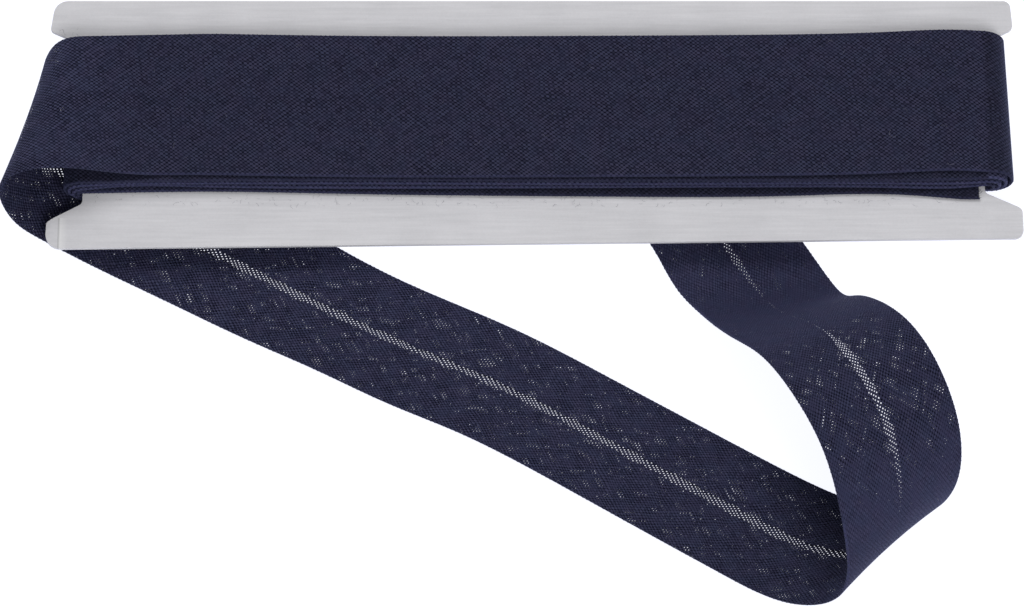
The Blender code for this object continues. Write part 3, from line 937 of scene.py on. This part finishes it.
def fibre_tree():
    """Loose bent fibres scattered on the faces of a mesh, starting towards +X."""
    tree, make, given, result = new_tree("loose_fibres", (
        ("Density", "Float"), ("Length", "Float"), ("Thickness", "Float"), ("Spread", "Float"),
        ("Seed", "Int"), ("Material", "Material")))
    spots = make.add("GeometryNodeDistributePointsOnFaces")
    make.put(spots.inputs["Mesh"], given["Geometry"])
    make.put(spots.inputs["Density"], given["Density"])
    make.put(spots.inputs["Seed"], given["Seed"])
    bend = make.add("GeometryNodeCurveQuadraticBezier")
    bend.inputs["Resolution"].default_value = 6
    bend.inputs["Start"].default_value = (0.0, 0.0, 0.0)
    bend.inputs["Middle"].default_value = (0.55, 0.40, 0.10)
    bend.inputs["End"].default_value = (1.0, -0.05, 0.06)
    ring = make.add("GeometryNodeCurvePrimitiveCircle")
    ring.inputs["Resolution"].default_value = 4
    make.put(ring.inputs["Radius"], make.math("DIVIDE", given["Thickness"], given["Length"]))
    strand = make.add("GeometryNodeCurveToMesh")
    make.put(strand.inputs["Curve"], bend.outputs[0])
    make.put(strand.inputs["Profile Curve"], ring.outputs[0])
    turn = random_number(make, make.math("MULTIPLY", given["Spread"], -1.0), given["Spread"],
                         given["Seed"])
    size = random_number(make, make.math("MULTIPLY", given["Length"], 0.4), given["Length"],
                         make.math("ADD", given["Seed"], 1.0))
    flip = make.math("SIGN", random_number(make, -1.0, 1.0, make.math("ADD", given["Seed"], 2.0)))
    euler = make.add("FunctionNodeEulerToRotation")
    make.put(euler.inputs[0], make.vector(0.0, 0.0, turn))
    placed = make.add("GeometryNodeInstanceOnPoints")
    make.put(placed.inputs["Points"], spots.outputs["Points"])
    make.put(placed.inputs["Instance"], strand.outputs[0])
    make.put(placed.inputs["Rotation"], euler.outputs[0])
    make.put(placed.inputs["Scale"], make.vector(size, make.math("MULTIPLY", size, flip), size))
    finish_tree(make, placed.outputs[0], given["Material"], result)
    return tree


def grow(name, tree, base, sizes, material):
    """A plain mesh that a Geometry Nodes tree makes on a base mesh, as a finished piece."""
    carrier = bpy.data.objects.new(name + "_base", base)
    bpy.context.scene.collection.objects.link(carrier)
    modifier = carrier.modifiers.new(name, "NODES")
    modifier.node_group = tree
    for item in tree.interface.items_tree:
        if item.in_out == "INPUT" and item.name in sizes:
            modifier[item.identifier] = sizes[item.name]
        if item.in_out == "INPUT" and item.name == "Material":
            modifier[item.identifier] = material
    bpy.context.view_layer.update()
    graph = bpy.context.evaluated_depsgraph_get()
    mesh = bpy.data.meshes.new_from_object(carrier.evaluated_get(graph))
    carrier.modifiers.clear()
    bpy.data.objects.remove(carrier)
    mesh.materials.clear()
    finish_piece(mesh, name, material, None)


def line_mesh(name, lines):
    """A mesh of open lines."""
    points = []
    steps = []
    for line in lines:
        first = len(points)
        points += [tuple(point * MM) for point in line]
        steps += [(first + step, first + step + 1) for step in range(len(line) - 1)]
    mesh = bpy.data.meshes.new(name)
    mesh.from_pydata(points, steps, [])
    return mesh


def patch_mesh(name, patches):
    """A mesh of level rectangles."""
    points = []
    faces = []
    for left, right, low, high, height in patches:
        first = len(points)
        points += [(left * MM, low * MM, height * MM), (right * MM, low * MM, height * MM),
                   (right * MM, high * MM, height * MM), (left * MM, high * MM, height * MM)]
        faces.append((first, first + 1, first + 2, first + 3))
    mesh = bpy.data.meshes.new(name)
    mesh.from_pydata(points, [], faces)
    return mesh


def thread_material(name, colour):
    """Plain cotton or lint, a little uneven in colour."""
    material, make, shader = new_material(name)
    place = make.add("ShaderNodeTexCoord").outputs["Object"]
    uneven = make.noise(place, THREAD_SCALE, 2.0)
    dark = tuple(value * (1 - THREAD_UNEVEN) for value in colour) + (1.0,)
    light = tuple(value * (1 + THREAD_UNEVEN) for value in colour) + (1.0,)
    make.put(shader.inputs["Base Color"], make.mix(uneven, dark, light))
    shader.inputs["Roughness"].default_value = CLOTH_ROUGHNESS
    shader.inputs["Specular IOR Level"].default_value = CLOTH_SPECULAR
    shader.inputs["Sheen Weight"].default_value = FUZZ_WEIGHT
    shader.inputs["Sheen Tint"].default_value = FUZZ_TINT
    return material


def make_crowns(thread, edges):
    """The yarns' crowns that stand out along both folds of the tape."""
    upper = edges[:, :3]
    lower = edges[:, 3:]
    inward = (lower - upper) / np.linalg.norm(lower - upper, axis=1)[:, None] * CROWN_INSET
    sizes = {"Pitch": CROWN_PITCH * MM, "Length": CROWN_LENGTH * MM,
             "Thickness": CROWN_THICKNESS * MM, "Uneven": CROWN_UNEVEN, "Seed": CROWN_SEED}
    base = line_mesh("folds", (upper + inward, lower - inward))
    grow("fold_crowns", crown_tree(), base, sizes, thread)


def make_fibres(thread):
    """Fluff that the cotton has shed, lint, and the threads of the tape's cut first end."""
    tree = fibre_tree()
    lint = thread_material("pale_lint", LINT_COLOUR)
    for name, patches, density, length, thickness, spread, seed, material, slot in (
            # density is in fibres for each square millimetre
            ("navy_fluff", FLUFF_PATCHES, 1.1, 0.6, 0.009, math.pi, 5, thread, "navy_cotton"),
            ("pale_lint", LINT_PATCHES, 0.035, 1.0, 0.009, math.pi, 8, lint, "cardboard"),
            ("cut_end_threads", FRAY_PATCHES, 14.0, 0.8, 0.028, 0.5, 11, thread, "navy_cotton")):
        sizes = {"Density": density / MM ** 2, "Length": length * MM, "Thickness": thickness * MM,
                 "Spread": spread, "Seed": seed}
        grow(name, tree, patch_mesh(name, patches), sizes, material)


def make_floor():
    """A plain floor whose brightness is nearly all glow, so that it looks white as in the photo."""
    mesh = bpy.data.meshes.new("floor")
    corners = [(-1, -1), (1, -1), (1, 1), (-1, 1)]
    mesh.from_pydata([(x * FLOOR_HALF, y * FLOOR_HALF, 0) for x, y in corners], [], [(0, 1, 2, 3)])
    material, _, shader = new_material("pale_floor")
    shader.inputs["Base Color"].default_value = FLOOR_COLOUR
    shader.inputs["Roughness"].default_value = 1.0
    shader.inputs["Specular IOR Level"].default_value = 0.0
    shader.inputs["Emission Color"].default_value = FLOOR_GLOW
    shader.inputs["Emission Strength"].default_value = FLOOR_GLOW_STRENGTH
    mesh.materials.append(material)
    floor = bpy.data.objects.new("floor", mesh)
    bpy.context.scene.collection.objects.link(floor)


def make_light(name, place, target, size, power):
    """A round area light that faces its target."""
    data = bpy.data.lights.new(name, "AREA")
    data.shape = "DISK"
    data.size = size
    data.energy = power
    light = bpy.data.objects.new(name, data)
    light.location = place
    direction = np.array(target) - np.array(place)
    light.rotation_mode = "QUATERNION"
    light.rotation_quaternion = Vector(direction).to_track_quat("-Z", "Y")
    bpy.context.scene.collection.objects.link(light)


def set_view():
    """The camera at the photo's viewing angle."""
    data = bpy.data.cameras.new("view")
    data.lens = LENS
    data.sensor_width = SENSOR
    data.clip_start = 0.01
    data.clip_end = 10.0
    camera = bpy.data.objects.new("view", data)
    tilt = math.radians(VIEW_TILT)
    camera.location = (LOOK_AT[0] * MM, (LOOK_AT[1] - VIEW_DISTANCE * math.sin(tilt)) * MM,
                       VIEW_DISTANCE * math.cos(tilt) * MM)
    camera.rotation_euler = (tilt, 0.0, 0.0)
    bpy.context.scene.collection.objects.link(camera)
    bpy.context.scene.camera = camera


def set_world():
    """Even white light from all round."""
    world = bpy.data.worlds.new("studio")
    world.use_nodes = True
    background = world.node_tree.nodes["Background"]
    background.inputs["Color"].default_value = (1.0, 1.0, 1.0, 1.0)
    background.inputs["Strength"].default_value = WORLD_STRENGTH
    bpy.context.scene.world = world
    bpy.context.scene.view_settings.view_transform = "Standard"


cotton = cloth_material()
board = card_material()
thread = thread_material("navy_thread", THREAD_COLOUR)
edges, split, state = tape_edges()
make_floor()
make_card(board)
make_tapes(cotton, edges, split, state)
make_crowns(thread, edges)
make_fibres(thread)
for light in LIGHTS:
    make_light(*light)
set_view()
set_world()
